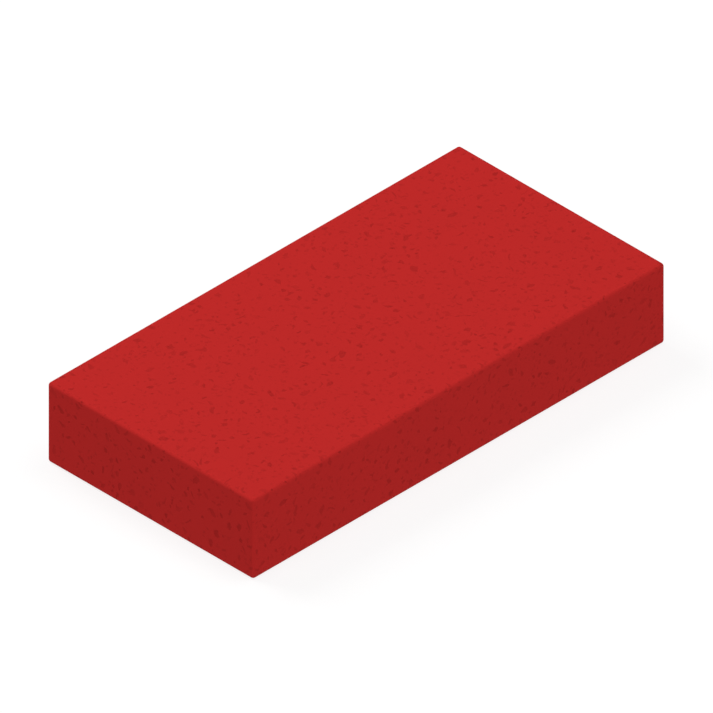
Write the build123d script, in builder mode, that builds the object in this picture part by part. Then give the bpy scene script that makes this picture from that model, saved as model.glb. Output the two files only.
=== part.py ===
"""Precast concrete wall cap: one solid rectangular block, cast in a single pour.

The cap lies flat on the top course of a wall. Its length runs along the wall, its width crosses
the wall and hangs over both faces, and all of its edges are eased to one radius.
The origin is the middle of the bed face, with +X along the wall and +Z up.
"""

import os

from build123d import *

# Driving dimensions, in millimetres
cap_length = 609.6  # along the wall, 24 inches
cap_width = 304.8  # across the wall, 12 inches
cap_height = 101.6  # from the bed face to the top face, 4 inches
arris_radius = 4.0  # easing of every edge, which meets in a ball corner at each of the eight corners

# The block is drawn on its bed face, raised to its height and eased all round
with BuildPart() as wall_cap:
    with BuildSketch(Plane.XY) as bed_outline:
        Rectangle(cap_length, cap_width)
    extrude(amount=cap_height)
    fillet(wall_cap.edges(), radius=arris_radius)

wall_cap.part.label = "wall_cap"

os.makedirs("parts", exist_ok=True)
export_step(wall_cap.part, "parts/wall_cap.step")
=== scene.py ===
"""A precast wall cap of red concrete, with the open pores of its cast skin, laid flat on a studio floor."""

import math
import random
from types import SimpleNamespace

import bpy
import numpy as np
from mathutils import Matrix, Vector
from mathutils.geometry import delaunay_2d_cdt


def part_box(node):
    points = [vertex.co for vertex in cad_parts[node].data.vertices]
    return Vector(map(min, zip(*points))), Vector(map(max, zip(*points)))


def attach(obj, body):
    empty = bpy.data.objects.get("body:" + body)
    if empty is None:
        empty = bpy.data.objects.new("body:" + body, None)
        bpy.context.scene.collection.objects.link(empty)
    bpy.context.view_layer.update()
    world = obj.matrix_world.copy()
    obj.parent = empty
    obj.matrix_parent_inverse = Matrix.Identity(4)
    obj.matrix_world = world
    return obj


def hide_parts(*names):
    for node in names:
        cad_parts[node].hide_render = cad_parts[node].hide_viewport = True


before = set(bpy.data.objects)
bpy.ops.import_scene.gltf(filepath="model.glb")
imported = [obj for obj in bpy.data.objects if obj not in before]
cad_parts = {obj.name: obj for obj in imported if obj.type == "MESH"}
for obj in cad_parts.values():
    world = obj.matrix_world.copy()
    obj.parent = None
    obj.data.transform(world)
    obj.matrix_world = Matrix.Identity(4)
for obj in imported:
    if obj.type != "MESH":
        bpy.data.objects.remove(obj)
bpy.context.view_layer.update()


# The block: one pour of red concrete, shaken down in a smooth mould and turned out as a single solid.
# The mould is eased all round, so each of the twelve arrises is a quarter round and each of the eight
# corners is part of a ball. It is built here as six faces, each with its half of the easing round it.

millimetre = 0.001
block_low, block_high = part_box("wall_cap")
block_middle = np.array((block_low + block_high) / 2)
arris_radius = 4.0 * millimetre
core_half_size = np.array((block_high - block_low) / 2) - arris_radius

# Half of a quarter round, laid out flat beside the face that carries it
easing = arris_radius * math.pi / 4
easing_rows = 4
easing_station = 5.0 * millimetre

# Each face is drawn flat, along its first direction and across its second
top = SimpleNamespace(along=(1, 0, 0), across=(0, 1, 0))
bed = SimpleNamespace(along=(1, 0, 0), across=(0, -1, 0))
front = SimpleNamespace(along=(1, 0, 0), across=(0, 0, 1))
back = SimpleNamespace(along=(-1, 0, 0), across=(0, 0, 1))
left_end = SimpleNamespace(along=(0, 0, 1), across=(0, 1, 0))
right_end = SimpleNamespace(along=(0, 0, -1), across=(0, 1, 0))
long_faces = (top, bed, front, back)
end_faces = (left_end, right_end)
block_faces = long_faces + end_faces

for face in block_faces:
    face.along = np.array(face.along, float)
    face.across = np.array(face.across, float)
    face.outward = np.cross(face.along, face.across)
    face.flat_half = np.array([abs(face.along) @ core_half_size, abs(face.across) @ core_half_size])
    face.skin_half = face.flat_half + easing
    face.rise = abs(face.outward) @ core_half_size

# The six faces lie side by side on the texture map: the four long ones stacked, the ends beside them
map_margin = 6.0 * millimetre
stack_height = map_margin
for face in long_faces:
    face.map_corner = np.array([map_margin, stack_height])
    stack_height += 2 * face.skin_half[1] + map_margin
end_height = map_margin
for face in end_faces:
    face.map_corner = np.array([2 * map_margin + 2 * top.skin_half[0], end_height])
    end_height += 2 * face.skin_half[1] + map_margin
map_size = stack_height


def way_out(face, drawn):
    """The outward direction of the skin at points drawn on a face, turning as they pass over the easing."""
    flat = np.clip(drawn, -face.flat_half, face.flat_half)
    turn = np.tan((drawn - flat) / arris_radius)
    direction = face.outward + turn[:, :1] * face.along + turn[:, 1:] * face.across
    return direction / np.linalg.norm(direction, axis=1, keepdims=True)


def place(face, drawn, depth):
    """Where points drawn on a face lie on the block, sunk by depth below its skin."""
    flat = np.clip(drawn, -face.flat_half, face.flat_half)
    core = block_middle + face.rise * face.outward + flat[:, :1] * face.along + flat[:, 1:] * face.across
    return core + (arris_radius - depth)[:, None] * way_out(face, drawn)


def lean_to_arris(face, drawn):
    """How far points drawn on a face lie over its easing: 0 on the flat, and 1 on the arris."""
    return np.clip((np.abs(drawn) - face.flat_half) / easing, 0, 1).max(axis=1)


def easing_points(face):
    """Rows of points over the eased border of a face, which meet those of its neighbours at the arris."""
    stations = []
    for half in face.flat_half:
        count = round(2 * half / easing_station)
        flat = np.linspace(-half, half, count + 1)
        row = np.linspace(0, easing, easing_rows + 1)[1:]
        stations.append(np.concatenate([-half - row[::-1], flat, half + row]))
    grid = np.stack(np.meshgrid(*stations, indexing="ij"), -1).reshape(-1, 2)
    slack = 1e-9
    eased = (np.abs(grid) >= face.flat_half - slack).any(axis=1)
    return grid[eased]


# The pores: air and water held against the mould leave small open pits in the skin, and coarse sand
# drags short scratches and chips in it. They are a few millimetres long and shallow, painted a little
# darker than the face as painted shade in their hollows, and lie every way over all six faces, some of
# them in clusters.

pore_seed = 41
pores_per_square_metre = 5500
pore_gap = 0.3 * millimetre
pore_tries = 20
neighbourhood = 20.0 * millimetre

# A pore of a cluster lies a short reach from an earlier one
clustered_share = 0.38
cluster_reach = (2.5 * millimetre, 6.5 * millimetre)

# The rim wanders in and out by shares of the half width, and a wide pore bends less than a thin one
ragged_reach = (0.5, 1.35)
tip_reach = (0.25, 0.9)
narrowing = 0.4
most_lopsided = 0.45
most_bend_for_width = 0.6

# The floor reaches a share of the way out to the rim, and lies deeper in a wide or strong pore
floor_share = (0.55, 0.72)
steepness = (0.04, 0.12)
floor_unevenness = (0.75, 1.15)
easing_shallowness = 0.5

# Most air is caught against the plates that close the mould's ends, so pores are most open there
long_face_openness = 0.87
end_openness = 0.95
for face in long_faces:
    face.openness = long_face_openness
for face in end_faces:
    face.openness = end_openness

# Lengths and widths are in millimetres and bends in degrees, and strength is how deep a pore is and how
# dark its painted shade is
pinhole = SimpleNamespace(
    share=0.26, length=(1.3, 3.0), width=(2.3, 4.2), bend=40, stations=3, strength=(0.25, 1.0)
)
dash = SimpleNamespace(
    share=0.24, length=(2.6, 6.2), width=(2.6, 4.7), bend=45, stations=4, strength=(0.30, 1.0)
)
shard = SimpleNamespace(
    share=0.27, length=(3.0, 6.8), width=(4.0, 7.4), bend=60, stations=3, strength=(0.25, 1.0)
)
hook = SimpleNamespace(
    share=0.09, length=(5.0, 9.6), width=(2.5, 4.6), bend=150, stations=5, strength=(0.30, 1.0)
)
scratch = SimpleNamespace(
    share=0.02, length=(8.0, 14.0), width=(2.0, 3.0), bend=60, stations=6, strength=(0.35, 1.0)
)
patch = SimpleNamespace(
    share=0.12, length=(5.0, 10.6), width=(5.4, 9.6), bend=60, stations=4, strength=(0.25, 0.9)
)
pore_kinds = (patch, scratch, hook, shard, dash, pinhole)
chance = random.Random(pore_seed)
full_turn = 2 * math.pi


def heading_to(angle):
    """A step of one unit in the direction of an angle."""
    return np.array([math.cos(angle), math.sin(angle)])


def draw_pore(kind):
    """One pore about its own middle: its rim, the ring of its floor inside it, and discs that cover it."""
    length = chance.uniform(*kind.length) * millimetre
    half_width = chance.uniform(*kind.width) * millimetre / 2
    most_bend = min(math.radians(kind.bend), most_bend_for_width * length / half_width)
    bend = chance.uniform(-most_bend, most_bend)
    heading = chance.uniform(0, full_turn)
    lopsided = chance.uniform(-most_lopsided, most_lopsided)
    spine = [np.zeros(2)]
    right, left, reaches = [], [], []
    for station in range(kind.stations):
        from_half_way = 2 * station / (kind.stations - 1) - 1
        forward = heading_to(heading + bend * from_half_way / 2)
        sideways = np.array([-forward[1], forward[0]])
        if station:
            spine.append(spine[-1] + forward * length / (kind.stations - 1))
        local_width = half_width * (1 - narrowing * from_half_way ** 2 + lopsided * from_half_way)
        reach_right = local_width * chance.uniform(*ragged_reach)
        reach_left = local_width * chance.uniform(*ragged_reach)
        right.append(spine[-1] - sideways * reach_right)
        left.append(spine[-1] + sideways * reach_left)
        reaches.append(max(reach_right, reach_left))
    start_reach = half_width * chance.uniform(*tip_reach)
    end_reach = half_width * chance.uniform(*tip_reach)
    start_tip = spine[0] - heading_to(heading - bend / 2) * start_reach
    end_tip = spine[-1] + heading_to(heading + bend / 2) * end_reach
    rim = np.array([*right, end_tip, *left[::-1], start_tip])
    keel = np.array([*spine, spine[-1], *spine[::-1], spine[0]])
    floor = keel + (rim - keel) * chance.uniform(*floor_share)
    reaches[0] = max(reaches[0], start_reach)
    reaches[-1] = max(reaches[-1], end_reach)
    discs = [(*spot, reach) for spot, reach in zip(spine, reaches)]
    discs += [np.add(before, after) / 2 for before, after in zip(discs, discs[1:])]
    middle = np.mean(spine, axis=0)
    return SimpleNamespace(
        rim=rim - middle,
        floor=floor - middle,
        discs=np.array(discs) - (*middle, 0),
        half_width=half_width,
    )


def settle_pore(face, kind, pores, taken):
    """A pore in its place on a face, clear of those before it, or None where no try finds room."""
    room = face.skin_half - pore_gap
    for _ in range(pore_tries):
        pore = draw_pore(kind)
        spot = np.array([chance.uniform(-half, half) for half in face.skin_half])
        if pores and chance.random() < clustered_share:
            reach = chance.uniform(*cluster_reach)
            spot = chance.choice(pores).spot + reach * heading_to(chance.uniform(0, full_turn))
        # A pore that would cross the arris is drawn in to it
        spot -= np.maximum((pore.rim + spot).max(axis=0) - room, 0)
        spot += np.maximum(-room - (pore.rim + spot).min(axis=0), 0)
        pore.spot = spot
        pore.rim += spot
        pore.floor += spot
        pore.discs[:, :2] += spot
        near = taken[(np.abs(taken[:, :2] - spot) < neighbourhood).all(axis=1)]
        apart = np.linalg.norm(pore.discs[:, None, :2] - near[None, :, :2], axis=2)
        if (apart >= pore.discs[:, None, 2] + near[None, :, 2] + pore_gap).all():
            return pore
    return None


def scatter_pores(face):
    """Pores strewn over a face and its easing, and the discs that they take up."""
    area = 4 * face.skin_half[0] * face.skin_half[1]
    wanted = round(area * pores_per_square_metre)
    pores, taken = [], np.zeros((0, 3))
    for kind in pore_kinds:
        for _ in range(round(wanted * kind.share)):
            pore = settle_pore(face, kind, pores, taken)
            if pore is None:
                continue
            pore.strength = face.openness * chance.uniform(*kind.strength)
            pore.depth = pore.half_width * np.interp(pore.strength, (0, 1), steepness)
            if (np.abs(pore.rim) > face.flat_half).any():
                pore.depth *= easing_shallowness
            pores.append(pore)
            taken = np.concatenate([taken, pore.discs])
    return pores, taken


def line_pit(rim, floor):
    """The triangles of a pore's wall, from its rim to the ring of its floor, and then of the floor."""
    ring = len(rim)
    pit = []
    for here in range(ring):
        after = (here + 1) % ring
        pit.append([rim[here], rim[after], floor[after]])
        pit.append([rim[here], floor[after], floor[here]])
    stations = ring // 2 - 1
    pit.append([floor[stations - 1], floor[stations], floor[stations + 1]])
    pit.append([floor[ring - 2], floor[ring - 1], floor[0]])
    for station in range(stations - 1):
        far_right, far_left = station + 1, ring - 3 - station
        pit.append([floor[station], floor[far_right], floor[far_left]])
        pit.append([floor[station], floor[far_left], floor[far_left + 1]])
    return pit


def cast_face(face):
    """A face's points, their depth and the strength of their pit's painted shade, and the triangles of its
    holed skin and of its pits.
    """
    pores, taken = scatter_pores(face)

    # Points of the easing give way to the pores, but those on the arris all stay for its neighbours
    rows = easing_points(face)
    by_easing = taken[(np.abs(taken[:, :2]) > face.flat_half - neighbourhood).any(axis=1)]
    apart = np.linalg.norm(rows[:, None] - by_easing[None, :, :2], axis=2) - by_easing[None, :, 2]
    on_arris = (np.abs(rows) > face.skin_half - pore_gap / 2).any(axis=1)
    rows = rows[on_arris | (apart > pore_gap).all(axis=1)]

    rims, count = [], len(rows)
    for pore in pores:
        rims.append(list(range(count, count + len(pore.rim))))
        count += len(pore.rim)
    skin = np.concatenate([rows, *[pore.rim for pore in pores]])
    drawn = [Vector(spot / millimetre) for spot in skin]
    out_to_hull = 0
    same_point = 1e-6
    _, _, triangles, drawn_as, _, inside = delaunay_2d_cdt(drawn, [], rims, out_to_hull, same_point)
    skin_triangles = [
        [drawn_as[corner][0] for corner in triangle]
        for triangle, rim in zip(triangles, inside)
        if not rim
    ]

    floors, pit_triangles = [], []
    depth, tone = [np.zeros(count)], [np.zeros(count)]
    for pore, rim in zip(pores, rims):
        floor = list(range(count, count + len(rim)))
        count += len(rim)
        floors.append(pore.floor)
        depth.append(np.array([pore.depth * chance.uniform(*floor_unevenness) for _ in floor]))
        # The floor ring carries the pore's strength as the strength of its painted shade, and the rim none
        tone.append(np.full(len(rim), pore.strength))
        pit_triangles += line_pit(rim, floor)
    return SimpleNamespace(
        drawn=np.concatenate([skin, *floors]),
        depth=np.concatenate(depth),
        tone=np.concatenate(tone),
        skin_triangles=np.array(skin_triangles),
        pit_triangles=np.array(pit_triangles),
    )


# The skin is shaded by the way that the block faces, and a pit by its own triangles
points, triangles, normals, map_places, shade_strengths, leans = [], [], [], [], [], []
point_count = 0
least_length = 1e-20
for face in block_faces:
    cast = cast_face(face)
    placed = place(face, cast.drawn, cast.depth)
    skin_normals = way_out(face, cast.drawn)
    corners = placed[cast.pit_triangles]
    pit_facing = np.cross(corners[:, 1] - corners[:, 0], corners[:, 2] - corners[:, 0])
    pit_normals = np.zeros_like(placed)
    for corner in range(3):
        np.add.at(pit_normals, cast.pit_triangles[:, corner], pit_facing)
    pit_normals /= np.maximum(np.linalg.norm(pit_normals, axis=1, keepdims=True), least_length)
    face_triangles = np.concatenate([cast.skin_triangles, cast.pit_triangles])
    points.append(placed)
    shade_strengths.append(cast.tone)
    leans.append(lean_to_arris(face, cast.drawn))
    triangles.append(face_triangles + point_count)
    normals.append(skin_normals[cast.skin_triangles].reshape(-1, 3))
    normals.append(pit_normals[cast.pit_triangles].reshape(-1, 3))
    on_map = (cast.drawn + face.skin_half + face.map_corner) / map_size
    map_places.append(on_map[face_triangles].reshape(-1, 2))
    point_count += len(placed)

# Points that two or three faces share along an arris become one, and unused ones go
points = np.concatenate(points)
shade_strengths = np.concatenate(shade_strengths)
leans = np.concatenate(leans)
triangles = np.concatenate(triangles)
used, renumbered = np.unique(triangles, return_inverse=True)
points, shade_strengths, leans = points[used], shade_strengths[used], leans[used]
weld = 1e-7
_, first, merged = np.unique(np.round(points / weld), axis=0, return_index=True, return_inverse=True)
points, shade_strengths, leans = points[first], shade_strengths[first], leans[first]
triangles = merged.reshape(-1)[renumbered.reshape(-1, 3)]

block_mesh = bpy.data.meshes.new("cap_block")
block_mesh.from_pydata(points, [], triangles)
block_map = block_mesh.uv_layers.new(name="OFBake")
block_map.uv.foreach_set("vector", np.concatenate(map_places).astype(np.float32).ravel())
# Each point carries the strength of its pit's painted shade: none on the rim, the pore's strength on its
# floor
painted_pore_shade = block_mesh.attributes.new("painted_pore_shade", "FLOAT", "POINT")
painted_pore_shade.data.foreach_set("value", shade_strengths.astype(np.float32))
arris_lean = block_mesh.attributes.new("arris_lean", "FLOAT", "POINT")
arris_lean.data.foreach_set("value", leans.astype(np.float32))
block_mesh.shade_smooth()
block_mesh.normals_split_custom_set(np.concatenate(normals))
cap_block = bpy.data.objects.new("cap_block", block_mesh)
scene = bpy.context.scene
scene.collection.objects.link(cap_block)


# The concrete: cement coloured right through with red oxide, and fine sand, with a dry matt skin.
# The pigment is even, with a faint clouding and the grain of the sand. Pits are painted darker, as
# painted shade in their hollows, and coarse grains close under the skin show as faint marks.

pigment_red = (0.507, 0.0216, 0.0200)
gloss = 0.03
roughness = (0.88, 0.98)
cloud_size = 45 * millimetre
cloud_detail = 4.0
cloud_spread = 0.012
sand_size = 0.9 * millimetre
sand_detail = 2.0
sand_spread = 0.03
sand_height = 0.06 * millimetre
sand_strength = 0.5
# Painted shade in the pits: how much darker the floor of the strongest pit is painted
painted_pit_darkness = 0.239
grain_spacing = 6.2 * millimetre
grain_half_size = (3.4 * millimetre, 1.9 * millimetre, 1.7 * millimetre)
grain_raggedness = 2.6 * millimetre
grain_ragged_size = 2.5 * millimetre
grain_ragged_detail = 1.0
grain_soft_edge = (0.5, 1.0)
grain_darkness = 0.14
arris_grain_darkness = 0.46
any_turn = (20.0, 20.0, 20.0)
usual_noise = (0.3, 0.7)

concrete = bpy.data.materials.new("red_concrete")
concrete.use_nodes = True
mix = concrete.node_tree


def add_node(tree, kind, sockets, **settings):
    """A new node with its settings, and its sockets each set to a value or fed by another node's output."""
    node = tree.nodes.new(kind)
    for name, value in settings.items():
        setattr(node, name, value)
    for socket, value in sockets.items():
        if isinstance(value, bpy.types.NodeSocket):
            tree.links.new(value, node.inputs[socket])
        else:
            node.inputs[socket].default_value = value
    return node


def noise(size, detail):
    """A noise through the block, with features of that size."""
    sockets = {"Vector": on_block, "Scale": 1 / size, "Detail": detail}
    return add_node(mix, "ShaderNodeTexNoise", sockets)


def graded(value, reads, gives, curve="LINEAR"):
    """A value that gives one pair of ends as it reads another."""
    sockets = {
        "Value": value,
        "From Min": reads[0],
        "From Max": reads[1],
        "To Min": gives[0],
        "To Max": gives[1],
    }
    return add_node(mix, "ShaderNodeMapRange", sockets, interpolation_type=curve).outputs["Result"]


def multiplied(one, other):
    """The product of two values."""
    return add_node(mix, "ShaderNodeMath", {0: one, 1: other}, operation="MULTIPLY").outputs["Value"]


def worked(operation, *vectors):
    """A vector worked out from others."""
    return add_node(mix, "ShaderNodeVectorMath", dict(enumerate(vectors)), operation=operation)


def painted(attribute):
    """A value that the mesh carries at its points."""
    return add_node(mix, "ShaderNodeAttribute", {}, attribute_name=attribute).outputs["Fac"]


on_block = add_node(mix, "ShaderNodeTexCoord", {}).outputs["Object"]
clouding = noise(cloud_size, cloud_detail).outputs["Fac"]
cloud_shade = graded(clouding, usual_noise, (1 - cloud_spread, 1 + cloud_spread))
sand = noise(sand_size, sand_detail).outputs["Fac"]
sand_shade = graded(sand, usual_noise, (1 - sand_spread, 1 + sand_spread))

# Each grain is a ragged lump about a point of its own, turned its own way and dark by its own measure
ragged = noise(grain_ragged_size, grain_ragged_detail).outputs["Color"]
ragged_place = worked("MULTIPLY_ADD", ragged, (grain_raggedness,) * 3, on_block).outputs["Vector"]
grains = add_node(mix, "ShaderNodeTexVoronoi", {"Vector": ragged_place, "Scale": 1 / grain_spacing})
from_grain = worked("SUBTRACT", ragged_place, grains.outputs["Position"]).outputs["Vector"]
grain_turn = worked("MULTIPLY", grains.outputs["Color"], any_turn).outputs["Vector"]
turned = add_node(
    mix, "ShaderNodeVectorRotate", {"Vector": from_grain, "Rotation": grain_turn}, rotation_type="EULER_XYZ"
)
in_grain = worked("DIVIDE", turned.outputs["Vector"], grain_half_size).outputs["Vector"]
grain_reach = worked("LENGTH", in_grain).outputs["Value"]
grain_cover = graded(grain_reach, grain_soft_edge, (1, 0), "SMOOTHSTEP")
grain_kind = add_node(mix, "ShaderNodeSeparateColor", {"Color": grains.outputs["Color"]}).outputs["Red"]
grain_tone = multiplied(grain_cover, grain_kind)

# The paste over the grains is thinnest along the arrises, so they show most there
grain_showing = graded(painted("arris_lean"), (0, 1), (grain_darkness, arris_grain_darkness))
grain_shade = graded(multiplied(grain_tone, grain_showing), (0, 1), (1, 0))
# Painted shade in the pits, darker towards their floors
painted_pit_shade = graded(painted("painted_pore_shade"), (0, 1), (1, 1 - painted_pit_darkness))

shade = multiplied(multiplied(cloud_shade, sand_shade), multiplied(grain_shade, painted_pit_shade))
colour = add_node(mix, "ShaderNodeVectorMath", {0: pigment_red, "Scale": shade}, operation="SCALE")
skin_grain = add_node(
    mix, "ShaderNodeBump", {"Height": sand, "Strength": sand_strength, "Distance": sand_height}
)
shader = mix.nodes["Principled BSDF"]
shader.inputs["Specular IOR Level"].default_value = gloss
mix.links.new(colour.outputs["Vector"], shader.inputs["Base Color"])
mix.links.new(graded(clouding, usual_noise, roughness), shader.inputs["Roughness"])
mix.links.new(skin_grain.outputs["Normal"], shader.inputs["Normal"])

block_mesh.materials.append(concrete)
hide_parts("wall_cap")
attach(cap_block, "root")


# The floor: a wide plain sheet of pale, thin studio paper that the cap lies on, lit through from below.
# It is seen as white, with a faint shadow round the foot of the block, which it lights softly.

floor_half_size = 4.0
floor_gap = 0.2 * millimetre
floor_height = block_low.z - floor_gap
paper_paleness = (0.2, 0.2, 0.2, 1)
paper_whiteness = 0.83
paper_glow = 0.268
floor_mesh = bpy.data.meshes.new("studio_floor")
floor_corners = [(-1, -1), (1, -1), (1, 1), (-1, 1)]
floor_mesh.from_pydata(
    [(x * floor_half_size, y * floor_half_size, floor_height) for x, y in floor_corners],
    [],
    [(0, 1, 2, 3)],
)
studio_floor = bpy.data.objects.new("studio_floor", floor_mesh)
scene.collection.objects.link(studio_floor)


def seen_or_lit(tree, lit, seen):
    """One shader for the light that a thing gives the block, and another for how it is seen or mirrored."""
    ray = add_node(tree, "ShaderNodeLightPath", {}).outputs
    looks = ray["Is Camera Ray"]
    for other in ("Is Glossy Ray", "Is Transmission Ray"):
        either = add_node(tree, "ShaderNodeMath", {0: looks, 1: ray[other]}, operation="MAXIMUM")
        looks = either.outputs["Value"]
    return add_node(tree, "ShaderNodeMixShader", {"Fac": looks, 1: lit, 2: seen}).outputs["Shader"]


paper = bpy.data.materials.new("pale_paper")
paper.use_nodes = True
sheet = paper.node_tree
sheet.nodes.clear()
room_passed = add_node(sheet, "ShaderNodeBsdfTransparent", {}).outputs["BSDF"]
lit_through = add_node(sheet, "ShaderNodeEmission", {"Strength": paper_glow}).outputs["Emission"]
paper_lit = add_node(sheet, "ShaderNodeAddShader", {0: room_passed, 1: lit_through}).outputs["Shader"]
paper_matt = add_node(sheet, "ShaderNodeBsdfDiffuse", {"Color": paper_paleness}).outputs["BSDF"]
paper_white = add_node(sheet, "ShaderNodeEmission", {"Strength": paper_whiteness}).outputs["Emission"]
paper_seen = add_node(sheet, "ShaderNodeAddShader", {0: paper_matt, 1: paper_white}).outputs["Shader"]
add_node(sheet, "ShaderNodeOutputMaterial", {"Surface": seen_or_lit(sheet, paper_lit, paper_seen)})
floor_mesh.materials.append(paper)


# The light: a plain white studio with four wide soft lamps, overhead, high behind the block, before its
# front and beside its left end. The room is seen as white, but lights the block only faintly.

room_light = 0.200
lamp_distance = 6.0
lamp_size = 3.0
white = (1, 1, 1, 1)
room = bpy.data.worlds.new("white_room")
scene.world = room
room.use_nodes = True
walls = room.node_tree
walls.nodes.clear()
room_glow = {"Color": white, "Strength": room_light}
room_lit = add_node(walls, "ShaderNodeBackground", room_glow).outputs["Background"]
room_seen = add_node(walls, "ShaderNodeBackground", {"Color": white}).outputs["Background"]
add_node(walls, "ShaderNodeOutputWorld", {"Surface": seen_or_lit(walls, room_lit, room_seen)})


def hang_lamp(name, towards, level):
    """A soft lamp that faces the block, at a level where 1 alone would show a colour as it is written."""
    lamp = bpy.data.lights.new(name, "AREA")
    lamp.shape = "SQUARE"
    lamp.size = lamp_size
    lamp.energy = level * math.pi ** 2 * lamp_distance ** 2
    hung = bpy.data.objects.new(name, lamp)
    direction = Vector(towards).normalized()
    hung.location = Vector(block_middle) + direction * lamp_distance
    hung.rotation_mode = "QUATERNION"
    hung.rotation_quaternion = (-direction).to_track_quat("-Z", "Y")
    hung.visible_camera = False
    scene.collection.objects.link(hung)


hang_lamp("high_lamp", towards=(0.26, -0.15, 0.95), level=0.313)
hang_lamp("back_lamp", towards=(-0.10, 0.63, 0.77), level=0.536)
hang_lamp("front_lamp", towards=(0.08, -0.96, 0.25), level=0.344)
hang_lamp("left_lamp", towards=(-0.97, 0.10, 0.20), level=0.264)

scene.view_settings.view_transform = "Standard"


# The camera: an isometric view from before the front left corner, with no perspective, so that
# edges that run the same way stay parallel. It looks a little above the middle of the block.

view_width = 0.7458
view_back = Vector((-1, -1, 1)).normalized()
view_right = Vector((1, -1, 0)).normalized()
view_up = view_back.cross(view_right)
view_distance = 3.0
above_middle = 6.07 * millimetre
right_of_middle = 0.36 * millimetre
aim = Vector(block_middle) + view_up * above_middle + view_right * right_of_middle
view = bpy.data.cameras.new("view")
view.type = "ORTHO"
view.ortho_scale = view_width
camera = bpy.data.objects.new("view", view)
camera.location = aim + view_back * view_distance
camera.rotation_mode = "QUATERNION"
camera.rotation_quaternion = (-view_back).to_track_quat("-Z", "Y")
scene.collection.objects.link(camera)
scene.camera = camera
